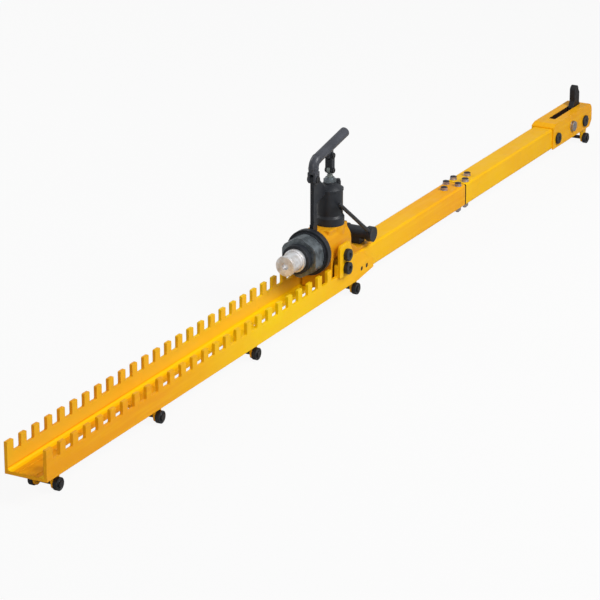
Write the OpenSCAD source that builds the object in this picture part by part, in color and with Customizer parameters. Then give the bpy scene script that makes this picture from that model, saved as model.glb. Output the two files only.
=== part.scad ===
/* [Toothed channel] */
// Distance from one slot to the next
slot_pitch = 40; // [34:1:48]
// Number of slots in each side wall, the last one holds the jack
slot_count = 27; // [22:1:30]
// Width of one slot
slot_w = 23; // [15:0.5:24]
// Depth of one slot below the top of the wall
slot_depth = 23; // [16:1:28]
// Distance from the open end to the middle of the first slot
first_slot = 32; // [26:1:45]
// Width over the two side walls
channel_w = 84; // [80:1:100]
// Height of the side walls
wall_h = 58; // [54:1:66]
// Thickness of the side walls and their ledges
wall_t = 6; // [4:0.5:7]
// Reach of each ledge from its wall towards the middle
ledge_w = 20; // [14:1:26]
// Length of the tapered nose where each wall laps the box beam
nose_l = 69; // [50:1:90]

/* [Box beam] */
// Width of the square tube
beam_w = 48; // [42:1:52]
// Height of the square tube
beam_h = 48; // [44:1:50]
// Wall of the square tube
tube_t = 4; // [3:0.5:5]
// How far the tube lies below the ledges
beam_drop = 4; // [2:0.5:8]
// Length of the inner tube
inner_beam_l = 528; // [400:1:800]
// Length of the outer tube up to the hook head
outer_beam_l = 457; // [300:1:800]
// Length of the sleeve inside the joint
sleeve_l = 200; // [180:1:280]
// Thread size of the splice bolts
splice_bolt_d = 8; // [6:1:8]

/* [Hook head] */
// Length of the hook head
head_l = 221; // [210:1:260]
// Width of the hook head
head_w = 54; // [53:1:64]
// Height of the hook head above the tube
head_rise = 8; // [6:0.5:12]
// Width of the slot in the head
pocket_w = 16; // [14:1:20]
// Thickness of the hook plate
hook_t = 13; // [10:0.5:13.4]
// Height of the hook tip above the ledges
hook_top = 100; // [90:1:112]

/* [Jack] */
// Radius of the ram
ram_r = 19; // [16:0.5:20]
// Radius of the cylinder bore
bore_r = 25; // [23:0.5:27]
// Wall of the cylinder
cylinder_t = 8; // [6:0.5:9]
// Height of the ram axis above the underside of the ledges
axis_z = 92; // [90:1:104]
// Radius of the black front flange
flange_r = 46; // [40:1:47]
// Length of ram that shows at rest, with its head
ram_show = 36; // [30:1:60]
// Radius of the saddle screws
saddle_screw_r = 6; // [5:0.5:7]

/* [Hand pump] */
// Radius of the oil reservoir
can_r = 26; // [22:0.5:27]
// Height of the oil reservoir without its lid
can_h = 69; // [60:1:100]
// Distance from the handle pivot to the pump plunger
pump_arm = 68; // [62:1:76]
// Radius of the pump plunger
plunger_r = 6; // [4:0.5:7]
// Outer radius of the handle socket tube
socket_r = 10; // [9.5:0.5:12]
// Radius of the hole that takes the pump lever
socket_bore_r = 8; // [6:0.5:8.5]
// Depth of the hole that takes the pump lever
socket_depth = 95; // [60:1:100]

/* [Release valve] */
// Radius of the valve barrel
valve_r = 13; // [11:0.5:14]
// Length of the release lever
lever_l = 172; // [120:1:176]
// Radius of the release lever rod
lever_r = 3.8; // [2:0.2:4]

/* [Rollers] */
// Radius of the wheels
wheel_r = 12; // [10:0.5:13]
// Width of one wheel
wheel_w = 9; // [6:0.5:12]
// Depth of the wheel axles below the ledges
axle_drop = 28; // [26:1:36]
// Radius of the wheel axles
axle_r = 4; // [3:0.5:4.5]

/* [Hidden] */
$fn = 64;

// Clearances
run_gap = 0.06;
seat_gap = 0.3;
hole_gap = 0.1;
tube_gap = 0.2;
cut = 1;

// Stations along the tool, measured from its open end
seat_x = first_slot + (slot_count - 1) * slot_pitch;
beam_x = seat_x + 70;
joint_x = beam_x + inner_beam_l;
head_x = joint_x + outer_beam_l;
total_l = head_x + head_l;
nose_x = beam_x + 59;
ledge_end = seat_x + 50;
roller_x = [60, first_slot + 364, first_slot + 717, beam_x + 16, total_l - 28];

// Heights above the underside of the ledges
slot_floor = wall_h - slot_depth;
beam_low = -beam_drop;
beam_top = beam_h - beam_drop;
head_top = beam_top + head_rise;
ground = axle_drop + wheel_r;

// Half widths
wall_out = channel_w / 2;
wall_in = wall_out - wall_t;
foot_half = wall_in - 3;
saddle_t = 5;
saddle_in = wall_out + seat_gap;
saddle_out = saddle_in + saddle_t;

// Packing between a wall and the narrower tube
packing_low = 9;
packing_high = 28;
packing_l = 50;
packing_screw_x = [8, 30];
packing_screw_z = 19.5;
packing_screw_r = 2.5;
packing_head_r = 4.6;
packing_head_t = 2;
packing_sink = 2.6;

// Box beam details
tube_round = 5;
tube_inner_round = 1.5;
splice_round = 2.5;
joint_gap = 3;
splice_end = 57;
splice_pair_x = 18;
splice_pair_y = beam_w / 2 - 10;
splice_points = [
    [-splice_end, 0],
    [splice_end, 0],
    [-splice_pair_x, -splice_pair_y],
    [splice_pair_x, -splice_pair_y],
    [-splice_pair_x, splice_pair_y],
    [splice_pair_x, splice_pair_y]
];
bolt_flats = 13;
bolt_collar_r = 7.8;
bolt_collar_t = 1.6;
bolt_head_h = 5.5;
nut_h = 6.5;
bolt_end = 3.5;

// Hook head details
head_socket_l = 41;
pocket_start = head_x + 51;
pocket_end = total_l - 22;
pocket_low = 0;
head_pin_x = head_x + 25;
pin_z = 17;
pivot_x = total_l - 41;
rest_x = pivot_x - 72;
rest_z = 24;
pin_r = 6;
pin_head_r = 13;
pin_head_t = 5;
rest_bolt_r = 7;
rest_flats = 22;
rest_head_t = 7;
hook_foot_r = 15;
hook_tip_r = 11;

// Jack details, measured from the seat slot
cyl_r = bore_r + cylinder_t;
body_front = -60;
body_rear = 50;
bore_end = 44;
flange_t = 18;
flange_step = 5;
gland_l = 30;
gland_flats = 74;
gland_r = 40;
nose_ring_l = 14;
nose_ring_r = 29;
wiper_l = 6;
wiper_r = 23;
gland_front = body_front - flange_t - gland_l;
nose_front = gland_front - nose_ring_l;
wiper_front = nose_front - wiper_l;
ram_front = wiper_front - ram_show;
ram_head_t = 5;
ram_head_r = ram_r + 1.5;
piston_front = -1;
piston_l = 18;
spigot_r = 10;
seal_w = 6;
seal_depth = 3;
foot_low = wall_t + seat_gap;
foot_front = -36;
foot_chamfer = 3;
neck_front = -28;
neck_half = 24;
screw_high_z = wall_h + 16;
screw_low_z = slot_floor + slot_w / 2;
bush_r = slot_w / 2 - seat_gap;
boss_r = 12.5;
screw_head_r = 12.3;
screw_head_t = 9;
screw_reach = 21;
arch_x = -14;
arch_r = 15;
arch_z = 56;
arch_depth = 12;

// Hand pump details
can_x = 20;
can_low = axis_z + cyl_r + 1;
can_t = 3;
can_top = can_low + can_h;
can_base_r = can_r + 3;
can_base_h = 15;
pad_r = can_r + 3.4;
rim_r = can_r + 1.2;
rim_t = 4;
lid_t = 16;
lid_top = can_top + lid_t;
dome_h = lid_t - rim_t;
dome_r = (can_r * can_r + dome_h * dome_h) / (2 * dome_h);
barrel_r = 11;
barrel_sink = 6;
barrel_floor = 8;
gland_nut_flats = 2 * barrel_r;
gland_nut_h = 10;
gland_nut_top = lid_top + gland_nut_h;
plug_x = can_x + 16.5;
plug_y = -9.5;
plug_r = 3;
plug_boss_r = 5.6;
plug_seat = lid_top - 3;
plug_head_r = 4.4;
fulcrum_x = can_x - pump_arm;
fulcrum_z = gland_nut_top + 14;
post_half = 6;
post_t = 4;
post_foot_half = 8.5;
post_foot_h = 18;
post_eye_r = 8;
pivot_pin_r = 4;
fork_in = 4.3;
fork_out = 8.5;
link_l = 30;
link_top_z = fulcrum_z + link_l;
ear_t = 3.5;
ear_r = 8;
link_in = 3.9;
link_out = 7.4;
link_eye_r = 6.5;
link_half = 6;
link_play = 1.5;
link_pin_r = 4;
lower_pin_r = 3.2;
lower_hole_r = 4.3;
plunger_eye_r = 8;
plunger_eye_t = 3.4;
plunger_low = can_low - barrel_sink + barrel_floor + seat_gap;
bend_r = 16;
bend_angle = 78.7;
bend_z = fulcrum_z + 22;
bend_end_x = fulcrum_x + bend_r - bend_r * cos(bend_angle);
bend_end_z = bend_z + bend_r * sin(bend_angle);
arm_l = 119;
bead_l = 3;
bead_gap = 0.5;
arm_tilt = 90 - bend_angle;

// Release valve details
valve_x = 139;
valve_z = beam_top + 28;
valve_near = -24;
valve_far = 20;
valve_cap_r = 15;
valve_cap_t = 7;
valve_stem_r = 5;
valve_stem_l = 22;
hub_near = -37;
hub_far = -25;
hub_r = 15.5;
lever_y = -32.3;
lever_angle = 36.5;
bracket_t = 6;
bracket_half = 20;
bracket_end = 163;
bracket_low = beam_top + seat_gap;
bracket_top = bracket_low + bracket_t;
valve_foot_half = 11;

// Roller details
fork_half = 20;
cheek_t = 4;
fork_l = 30;
fork_plate_t = 5;
fork_round = 10;
wheel_in = fork_half + 0.5;
wheel_out = wheel_in + wheel_w;
collar_r = axle_r + 2.5;
collar_t = 2.5;

// Points of a round corner at q, between its neighbours p and s
function unit(v) = v / norm(v);
function turn(a, b) = atan2(a[0] * b[1] - a[1] * b[0], a[0] * b[0] + a[1] * b[1]);
function spun(v, t) = [v[0] * cos(t) - v[1] * sin(t), v[0] * sin(t) + v[1] * cos(t)];
function soft_corner(p, q, s, r) =
    let(
        a = unit(p - q),
        b = unit(s - q),
        half = abs(turn(a, b)) / 2,
        c = q + unit(a + b) * r / sin(half),
        start = q + a * r / tan(half) - c,
        stop = q + b * r / tan(half) - c,
        steps = 6
    )
    r == 0 ? [q] : [for (k = [0 : steps]) c + spun(start, turn(start, stop) * k / steps)];

// Closed outline with each corner rounded to its own radius
function soft(points, radii) =
    let(n = len(points))
    [for (i = [0 : n - 1])
        each soft_corner(points[(i + n - 1) % n], points[i], points[(i + 1) % n], radii[i])];

// Puts a piece measured from the open end and the ledges into the frame of the tool
module placed() {
    translate([-total_l / 2, 0, ground]) children();
}

// Puts a piece measured from the seat slot into the frame of the tool
module at_seat() {
    placed() translate([seat_x, 0, 0]) children();
}

// A round bar along X
module bar_x(x0, x1, r) {
    translate([x0, 0, 0]) rotate([0, 90, 0]) cylinder(h = x1 - x0, r = r);
}

// A round bar along Y
module bar_y(y0, y1, r) {
    translate([0, y0, 0]) rotate([-90, 0, 0]) cylinder(h = y1 - y0, r = r);
}

// The same round bar on both sides, from inner to outer half width
module both_bars(inner, outer, r) {
    bar_y(inner, outer, r);
    bar_y(-outer, -inner, r);
}

// A section in the crosswise plane, run along X from x0 to x1
module run_x(x0, x1) {
    translate([x0, 0, 0]) rotate([90, 0, 90]) linear_extrude(x1 - x0) children();
}

// A flat plate in the upright lengthwise plane, from y0 to y1
module side_plate(y0, y1) {
    translate([0, y1, 0]) rotate([90, 0, 0]) linear_extrude(y1 - y0) children();
}

// A ring about X
module ring_x(x0, x1, r_out, r_in) {
    difference() {
        bar_x(x0, x1, r_out);
        bar_x(x0 - cut, x1 + cut, r_in);
    }
}

// A hexagonal prism along Z, measured across its flats
module hex_z(flats, h) {
    cylinder(h = h, r = flats / 2 / cos(30), $fn = 6);
}

// A hexagonal prism along Y from y0 to y1
module hex_y(y0, y1, flats) {
    translate([0, y0, 0]) rotate([-90, 0, 0]) hex_z(flats, y1 - y0);
}

// A square with round corners
module round_square(w, h, r) {
    translate([-w / 2 + r, -h / 2]) square([w - 2 * r, h]);
    translate([-w / 2, -h / 2 + r]) square([w, h - 2 * r]);
    for (sx = [-1, 1], sy = [-1, 1]) {
        translate([sx * (w / 2 - r), sy * (h / 2 - r)]) circle(r);
    }
}

// Outline of one slot, seen from the side, with round lower corners and a lead-in
module slot_outline() {
    corner = 2.5;
    lead = 1.5;
    translate([-slot_w / 2, slot_floor + corner]) square([slot_w, slot_depth]);
    translate([-slot_w / 2 + corner, slot_floor]) square([slot_w - 2 * corner, slot_depth]);
    for (s = [-1, 1]) {
        translate([s * (slot_w / 2 - corner), slot_floor + corner]) circle(corner, $fn = 24);
        translate([s * slot_w / 2, wall_h]) circle(lead, $fn = 4);
    }
}

// Outline of a side wall without its slots
module wall_outline() {
    nose_start = nose_x - nose_l;
    nose_rise = 8;
    nose_top = 26;
    polygon([
        [0, 0],
        [nose_start, 0],
        [nose_x, nose_rise],
        [nose_x, nose_top],
        [nose_start + 8, wall_h],
        [0, wall_h]
    ]);
}

// One side wall with its ledge, on the +Y side
module rack_wall() {
    root_r = 5;
    difference() {
        side_plate(wall_in, wall_out) difference() {
            wall_outline();
            for (i = [0 : slot_count - 1]) {
                translate([first_slot + i * slot_pitch, 0]) slot_outline();
            }
        }
        for (x = packing_screw_x) {
            translate([beam_x + x, 0, packing_screw_z]) {
                bar_y(wall_in - cut, wall_out + cut, packing_screw_r + hole_gap);
                bar_y(wall_out - packing_sink, wall_out + cut, packing_head_r + hole_gap);
            }
        }
    }
    translate([0, wall_in - ledge_w, 0]) cube([ledge_end, ledge_w + wall_t / 2, wall_t]);
    difference() {
        translate([0, wall_in - root_r, wall_t - cut]) cube([ledge_end, root_r + cut, root_r + cut]);
        translate([0, wall_in - root_r, wall_t + root_r]) bar_x(-cut, ledge_end + cut, root_r);
    }
}

module rack_wall_far() {
    color("gold") placed() rack_wall();
}

module rack_wall_near() {
    color("gold") placed() mirror([0, 1, 0]) rack_wall();
}

// A plate welded between the two ledges
module cross_plate(x0, x1) {
    half = wall_in - ledge_w;
    color("gold") placed() translate([x0, -half, 0]) cube([x1 - x0, 2 * half, wall_t]);
}

module end_cross_plate() {
    cross_plate(0, roller_x[0] + 52);
}

module second_cross_plate() {
    cross_plate(roller_x[1] - 50, roller_x[1] + 50);
}

module third_cross_plate() {
    cross_plate(roller_x[2] - 50, roller_x[2] + 50);
}

// Packing between a wall and the narrower tube, on the +Y side
module packing_plate() {
    inner = beam_w / 2;
    difference() {
        translate([beam_x, inner, packing_low])
            cube([packing_l, wall_in - inner, packing_high - packing_low]);
        for (x = packing_screw_x) {
            translate([beam_x + x, 0, packing_screw_z])
                bar_y(inner + 2, wall_in + cut, packing_screw_r + hole_gap);
        }
    }
}

module packing_plate_far() {
    color("gold") placed() packing_plate();
}

module packing_plate_near() {
    color("gold") placed() mirror([0, 1, 0]) packing_plate();
}

// Sunk screws that hold each wall to its packing plate
module packing_screws() {
    head_out = wall_out - packing_sink + packing_head_t;
    color("darkgoldenrod") placed() for (x = packing_screw_x) {
        translate([beam_x + x, 0, packing_screw_z]) {
            both_bars(beam_w / 2 + 3, head_out - packing_head_t / 2, packing_screw_r);
            both_bars(head_out - packing_head_t, head_out, packing_head_r);
        }
    }
}

// Square tube from x0 to x1 with the holes of the splice bolts
module box_tube(x0, x1) {
    mid_z = beam_low + beam_h / 2;
    difference() {
        run_x(x0, x1) translate([0, mid_z]) difference() {
            round_square(beam_w, beam_h, tube_round);
            round_square(beam_w - 2 * tube_t, beam_h - 2 * tube_t, tube_inner_round);
        }
        splice_holes();
    }
}

module splice_holes() {
    for (p = splice_points) {
        translate([joint_x + p[0], p[1], beam_low - cut])
            cylinder(h = beam_h + 2 * cut, r = splice_bolt_d / 2 + hole_gap);
    }
}

module inner_box_beam() {
    color("gold") placed() box_tube(beam_x, joint_x - joint_gap / 2);
}

module outer_box_beam() {
    color("gold") placed() difference() {
        box_tube(joint_x + joint_gap / 2, head_x + head_socket_l);
        translate([head_pin_x, 0, pin_z]) bar_y(-beam_w, beam_w, pin_r + hole_gap);
    }
}

// Solid bar inside the joint of the two tubes
module splice_bar() {
    side = beam_w - 2 * tube_t - 2 * seat_gap;
    tall = beam_h - 2 * tube_t - 2 * seat_gap;
    color("silver") placed() difference() {
        run_x(joint_x - sleeve_l / 2, joint_x + sleeve_l / 2)
            translate([0, beam_low + beam_h / 2]) round_square(side, tall, splice_round);
        splice_holes();
    }
}

module splice_bolts() {
    color("dimgray") placed() for (p = splice_points) {
        translate([joint_x + p[0], p[1], 0]) {
            translate([0, 0, beam_low - nut_h - bolt_end])
                cylinder(h = beam_h + nut_h + bolt_end + cut, r = splice_bolt_d / 2);
            translate([0, 0, beam_top]) cylinder(h = bolt_collar_t, r = bolt_collar_r);
            translate([0, 0, beam_top + bolt_collar_t]) hex_z(bolt_flats, bolt_head_h);
        }
    }
}

module splice_nuts() {
    color("silver") placed() for (p = splice_points) {
        translate([joint_x + p[0], p[1], beam_low - nut_h]) difference() {
            hex_z(bolt_flats, nut_h);
            translate([0, 0, -cut]) cylinder(h = nut_h + 2 * cut, r = splice_bolt_d / 2 + hole_gap);
        }
    }
}

// Head that slips over the end of the tube and holds the hook in its slot
module hook_head() {
    pocket_l = pocket_end - pocket_start;
    color("gold") placed() difference() {
        side_plate(-head_w / 2, head_w / 2) polygon(soft([
            [head_x, beam_low],
            [total_l - 12, beam_low],
            [total_l, beam_low + 13],
            [total_l, head_top],
            [head_x + 16, head_top],
            [head_x, head_top - 5]
        ], [0, 3, 4, 20, 6, 1]));
        run_x(head_x - cut, head_x + head_socket_l + tube_gap) {
            translate([0, beam_low + beam_h / 2])
                round_square(beam_w + 2 * tube_gap, beam_h + 2 * tube_gap, tube_round);
            translate([-beam_w / 2 - tube_gap, beam_low - cut])
                square([beam_w + 2 * tube_gap, beam_h / 2]);
        }
        translate([pocket_start + pocket_l / 2, 0, pocket_low]) linear_extrude(head_top + cut)
            round_square(pocket_l, pocket_w, 3);
        translate([head_pin_x, 0, pin_z]) bar_y(-head_w, head_w, pin_r + hole_gap);
        translate([pivot_x, 0, pin_z]) bar_y(-head_w, head_w, pin_r + hole_gap);
        translate([rest_x, 0, rest_z]) bar_y(-head_w, head_w, rest_bolt_r + hole_gap);
    }
}

// Folding hook, measured from its pivot
module hook() {
    tip = hook_top - pin_z;
    tip_x = hook_tip_r - hook_foot_r;
    face = 13;
    color("dimgray") placed() translate([pivot_x, 0, pin_z]) difference() {
        side_plate(-hook_t / 2, hook_t / 2) {
            circle(hook_foot_r);
            polygon([
                [-hook_foot_r, 0],
                [hook_foot_r, 0],
                [hook_foot_r, tip - 45],
                [face, tip - 41],
                [face, tip - 19],
                [tip_x + hook_tip_r, tip - hook_tip_r],
                [-hook_foot_r, tip - hook_tip_r],
                [-hook_foot_r, tip - 36],
                [-23, tip - 50],
                [-23, 17]
            ]);
            translate([tip_x, tip - hook_tip_r]) circle(hook_tip_r);
        }
        bar_y(-hook_t, hook_t, pin_r + run_gap);
    }
}

// A pin with a round head on each side of the hook head
module head_pin(x) {
    half = head_w / 2;
    color("dimgray") placed() translate([x, 0, pin_z]) {
        bar_y(-half - pin_head_t / 2, half + pin_head_t / 2, pin_r);
        both_bars(half, half + pin_head_t, pin_head_r);
    }
}

module hook_pivot_pin() {
    head_pin(pivot_x);
}

module head_fixing_pin() {
    head_pin(head_pin_x);
}

// Bolt on which the folded hook rests, with its nut
module hook_rest_bolt() {
    half = head_w / 2;
    color("silver") placed() translate([rest_x, 0, rest_z]) {
        bar_y(-half - rest_head_t / 2, half + rest_head_t + 2, rest_bolt_r);
        hex_y(-half - rest_head_t, -half, rest_flats);
        hex_y(half, half + rest_head_t, rest_flats);
    }
}

// Forked bracket of a roller station, hanging from the height top
module roller_bracket(x, top) {
    inner = fork_half - cheek_t;
    color("gold") placed() translate([x, 0, 0]) difference() {
        side_plate(-fork_half, fork_half) {
            polygon([
                [-fork_l / 2, top],
                [-fork_l / 2, top - fork_plate_t],
                [-fork_round, -axle_drop],
                [fork_round, -axle_drop],
                [fork_l / 2, top - fork_plate_t],
                [fork_l / 2, top]
            ]);
            translate([0, -axle_drop]) circle(fork_round);
        }
        translate([-fork_l, -inner, -2 * ground]) cube([2 * fork_l, 2 * inner, 2 * ground + top - fork_plate_t]);
        translate([0, 0, -axle_drop]) bar_y(-channel_w, channel_w, axle_r + run_gap);
    }
}

// Axle of a roller station with a collar at each end
module roller_axle(x) {
    color("silver") placed() translate([x, 0, -axle_drop]) {
        bar_y(-wheel_out - collar_t / 2, wheel_out + collar_t / 2, axle_r);
        both_bars(wheel_out, wheel_out + collar_t, collar_r);
    }
}

// Pair of wheels of a roller station
module roller_wheels(x) {
    tread = 1;
    color("dimgray") placed() translate([x, 0, -axle_drop]) difference() {
        union() {
            both_bars(wheel_in, wheel_out - tread, wheel_r);
            both_bars(wheel_in, wheel_out, wheel_r - tread);
        }
        bar_y(-channel_w, channel_w, axle_r + hole_gap);
    }
}

module roller_bracket_1() {
    roller_bracket(roller_x[0], 0);
}

module roller_bracket_2() {
    roller_bracket(roller_x[1], 0);
}

module roller_bracket_3() {
    roller_bracket(roller_x[2], 0);
}

module roller_bracket_4() {
    roller_bracket(roller_x[3], beam_low);
}

module roller_bracket_5() {
    roller_bracket(roller_x[4], beam_low);
}

module roller_axle_1() {
    roller_axle(roller_x[0]);
}

module roller_axle_2() {
    roller_axle(roller_x[1]);
}

module roller_axle_3() {
    roller_axle(roller_x[2]);
}

module roller_axle_4() {
    roller_axle(roller_x[3]);
}

module roller_axle_5() {
    roller_axle(roller_x[4]);
}

module roller_wheels_1() {
    roller_wheels(roller_x[0]);
}

module roller_wheels_2() {
    roller_wheels(roller_x[1]);
}

module roller_wheels_3() {
    roller_wheels(roller_x[2]);
}

module roller_wheels_4() {
    roller_wheels(roller_x[3]);
}

module roller_wheels_5() {
    roller_wheels(roller_x[4]);
}

// Crosswise section of the foot and neck of the jack body
module body_section() {
    shoulder_z = axis_z + 20;
    polygon([
        [-foot_half + foot_chamfer, foot_low],
        [foot_half - foot_chamfer, foot_low],
        [foot_half, foot_low + foot_chamfer],
        [foot_half, axis_z],
        [neck_half, shoulder_z],
        [neck_half, can_low],
        [-neck_half, can_low],
        [-neck_half, shoulder_z],
        [-foot_half, axis_z],
        [-foot_half, foot_low + foot_chamfer]
    ]);
}

// Cast body: lying cylinder, foot between the walls and neck under the reservoir
module jack_body() {
    collar_l = 6;
    flare_l = 16;
    flare_r = cyl_r + 7;
    post_pad = 9;
    color("gold") at_seat() difference() {
        union() {
            translate([0, 0, axis_z]) {
                bar_x(body_front, body_rear, cyl_r);
                bar_x(body_front, body_front + collar_l, flare_r);
                translate([body_front + collar_l, 0, 0]) rotate([0, 90, 0])
                    cylinder(h = flare_l, r1 = flare_r, r2 = cyl_r);
            }
            intersection() {
                run_x(foot_front, body_rear) body_section();
                side_plate(-foot_half, foot_half) polygon(soft([
                    [foot_front, foot_low],
                    [body_rear, foot_low],
                    [body_rear, can_low],
                    [neck_front, can_low],
                    [neck_front, axis_z],
                    [foot_front, axis_z - 20]
                ], [4, 4, 0, 0, 0, 6]));
            }
            translate([can_x, 0, axis_z]) cylinder(h = can_low - axis_z, r = pad_r);
            translate([fulcrum_x - post_pad, -post_pad, axis_z])
                cube([2 * post_pad, 2 * post_pad, can_low - axis_z]);
            translate([0, 0, screw_high_z]) bar_y(-saddle_in, saddle_in, boss_r);
        }
        translate([0, 0, axis_z]) bar_x(body_front - cut, bore_end, bore_r);
        translate([fulcrum_x - post_pad, -post_pad, can_low]) cube([2 * post_pad, 2 * post_pad, axis_z]);
        translate([can_x, 0, can_low - barrel_sink])
            cylinder(h = barrel_sink + cut, r = barrel_r + hole_gap);
        for (z = [screw_low_z, screw_high_z]) {
            translate([0, 0, z])
                both_bars(saddle_out - screw_reach - cut, saddle_in + cut, saddle_screw_r + hole_gap);
        }
        for (s = [0, 1]) {
            mirror([0, s, 0]) translate([arch_x, 0, 0]) {
                translate([0, 0, arch_z]) bar_y(foot_half - arch_depth, saddle_in, arch_r);
                translate([-arch_r, foot_half - arch_depth, foot_low - cut])
                    cube([2 * arch_r, arch_depth + cut, arch_z - foot_low + cut]);
            }
        }
    }
}

// Plate outside a wall that carries the jack body on the rack
module saddle_plate() {
    low = slot_floor - 5;
    high = axis_z + 5;
    difference() {
        side_plate(saddle_in, saddle_out) polygon(soft([
            [-26, low],
            [36, low],
            [36, wall_h + 3],
            [13, high + 2],
            [-26, high]
        ], [5, 5, 14, 8, 8]));
        for (z = [screw_low_z, screw_high_z]) {
            translate([0, 0, z]) bar_y(wall_in, saddle_out + cut, saddle_screw_r + hole_gap);
        }
    }
}

module saddle_plate_far() {
    color("gold") at_seat() saddle_plate();
}

module saddle_plate_near() {
    color("gold") at_seat() mirror([0, 1, 0]) saddle_plate();
}

// Round-headed screws through the saddle plates into the jack body
module saddle_screws() {
    color("dimgray") at_seat() for (z = [screw_low_z, screw_high_z]) {
        translate([0, 0, z]) {
            both_bars(saddle_out - screw_reach, saddle_out + screw_head_t / 2, saddle_screw_r);
            both_bars(saddle_out, saddle_out + screw_head_t, screw_head_r);
        }
    }
}

// Bushes on the lower screws, which sit in the slots of the two walls
module seat_bushes() {
    color("silver") at_seat() translate([0, 0, screw_low_z]) difference() {
        both_bars(foot_half, saddle_in, bush_r);
        bar_y(-saddle_out, saddle_out, saddle_screw_r + hole_gap);
    }
}

// Stepped disc that closes the front of the cylinder
module front_flange() {
    front = body_front - flange_t;
    color("dimgray") at_seat() translate([0, 0, axis_z]) difference() {
        union() {
            bar_x(front + flange_step, body_front, flange_r);
            bar_x(front, body_front, flange_r - 5);
        }
        bar_x(front - cut, body_front + cut, bore_r);
    }
}

// Nut with six flats that guides the ram
module gland_nut() {
    back = body_front - flange_t;
    relief = 3;
    color("dimgray") at_seat() translate([0, 0, axis_z]) difference() {
        union() {
            intersection() {
                bar_x(gland_front, back, gland_r);
                translate([gland_front, 0, 0]) rotate([0, 90, 0]) hex_z(gland_flats, gland_l);
            }
            bar_x(back - relief, back, gland_r - 1);
        }
        bar_x(gland_front - cut, back + cut, ram_r + run_gap);
    }
}

module nose_ring() {
    color("dimgray") at_seat() translate([0, 0, axis_z])
        ring_x(nose_front, gland_front, nose_ring_r, ram_r + seat_gap);
}

module wiper_collar() {
    color("silver") at_seat() translate([0, 0, axis_z])
        ring_x(wiper_front, nose_front, wiper_r, ram_r + seat_gap);
}

// Ram with the lipped head that bears on the rail
module ram() {
    hollow_r = 7;
    hollow_l = 9;
    color("silver") at_seat() translate([0, 0, axis_z]) difference() {
        union() {
            bar_x(ram_front, piston_front, ram_r);
            bar_x(ram_front + 1, ram_front + ram_head_t, ram_head_r);
            bar_x(piston_front - cut, piston_front + piston_l, spigot_r);
        }
        bar_x(ram_front - cut, ram_front + hollow_l, hollow_r);
    }
}

module piston() {
    mid = piston_front + piston_l / 2;
    color("silver") at_seat() translate([0, 0, axis_z]) difference() {
        ring_x(piston_front, piston_front + piston_l, bore_r - run_gap, spigot_r + hole_gap);
        ring_x(mid - seal_w / 2, mid + seal_w / 2, bore_r + cut, bore_r - seal_depth);
    }
}

module piston_seal() {
    mid = piston_front + piston_l / 2;
    color("black") at_seat() translate([0, 0, axis_z])
        ring_x(mid - seal_w / 2 + hole_gap, mid + seal_w / 2 - hole_gap, bore_r - run_gap, bore_r - seal_depth);
}

// Oil can round the pump barrel
module reservoir() {
    shoulder_h = 5;
    color("dimgray") at_seat() translate([can_x, 0, can_low]) difference() {
        union() {
            cylinder(h = can_h, r = can_r);
            cylinder(h = can_base_h, r = can_base_r);
            translate([0, 0, can_base_h]) cylinder(h = shoulder_h, r1 = can_base_r, r2 = can_r);
        }
        translate([0, 0, can_t + 1]) cylinder(h = can_h, r = can_r - can_t);
        translate([0, 0, -cut]) cylinder(h = can_h, r = barrel_r + hole_gap);
    }
}

module reservoir_lid() {
    plug_turn_x = plug_x - can_x;
    color("dimgray") at_seat() translate([can_x, 0, can_top]) difference() {
        union() {
            difference() {
                union() {
                    cylinder(h = rim_t, r = rim_r);
                    intersection() {
                        translate([0, 0, lid_t - dome_r]) sphere(dome_r);
                        cylinder(h = lid_t, r = can_r);
                    }
                }
                intersection() {
                    translate([0, 0, lid_t - dome_r]) sphere(dome_r - can_t);
                    translate([0, 0, -cut]) cylinder(h = lid_t, r = can_r - can_t);
                }
            }
            cylinder(h = lid_t, r = barrel_r + 2);
            translate([plug_turn_x, plug_y, rim_t]) cylinder(h = plug_seat - can_top - rim_t, r = plug_boss_r);
        }
        translate([0, 0, -cut]) cylinder(h = lid_t + 2 * cut, r = barrel_r + hole_gap);
        translate([plug_turn_x, plug_y, -cut]) cylinder(h = lid_t + 2 * cut, r = plug_r + hole_gap);
    }
}

module filler_plug() {
    shank_l = 10;
    color("dimgray") at_seat() translate([plug_x, plug_y, plug_seat]) {
        translate([0, 0, -shank_l]) cylinder(h = shank_l + 1, r = plug_r);
        cylinder(h = 2, r = plug_head_r + 1);
        translate([0, 0, 2]) hex_z(2 * plug_head_r * cos(30), 4);
    }
}

module pump_barrel() {
    low = can_low - barrel_sink;
    color("silver") at_seat() translate([can_x, 0, low]) difference() {
        cylinder(h = lid_top - low, r = barrel_r);
        translate([0, 0, barrel_floor]) cylinder(h = lid_top - low, r = plunger_r + run_gap);
    }
}

module pump_gland_nut() {
    collar_h = 3;
    color("silver") at_seat() translate([can_x, 0, lid_top]) difference() {
        union() {
            hex_z(gland_nut_flats, gland_nut_h - collar_h);
            cylinder(h = gland_nut_h, r = gland_nut_flats / 2 - 2);
        }
        translate([0, 0, -cut]) cylinder(h = gland_nut_h + 2 * cut, r = plunger_r + seat_gap);
    }
}

// Bright rod with an eye for the links
module pump_plunger() {
    rod_top = fulcrum_z - link_eye_r - 2 * link_play;
    neck_r = min(plunger_r, plunger_eye_t - hole_gap);
    color("silver") at_seat() translate([can_x, 0, 0]) difference() {
        union() {
            translate([0, 0, plunger_low]) cylinder(h = rod_top - plunger_low, r = plunger_r);
            translate([0, 0, rod_top - cut]) cylinder(h = plunger_eye_r, r = neck_r);
            translate([0, 0, fulcrum_z]) bar_y(-plunger_eye_t, plunger_eye_t, plunger_eye_r);
        }
        translate([0, 0, fulcrum_z]) bar_y(-channel_w, channel_w, lower_hole_r);
    }
}

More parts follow.
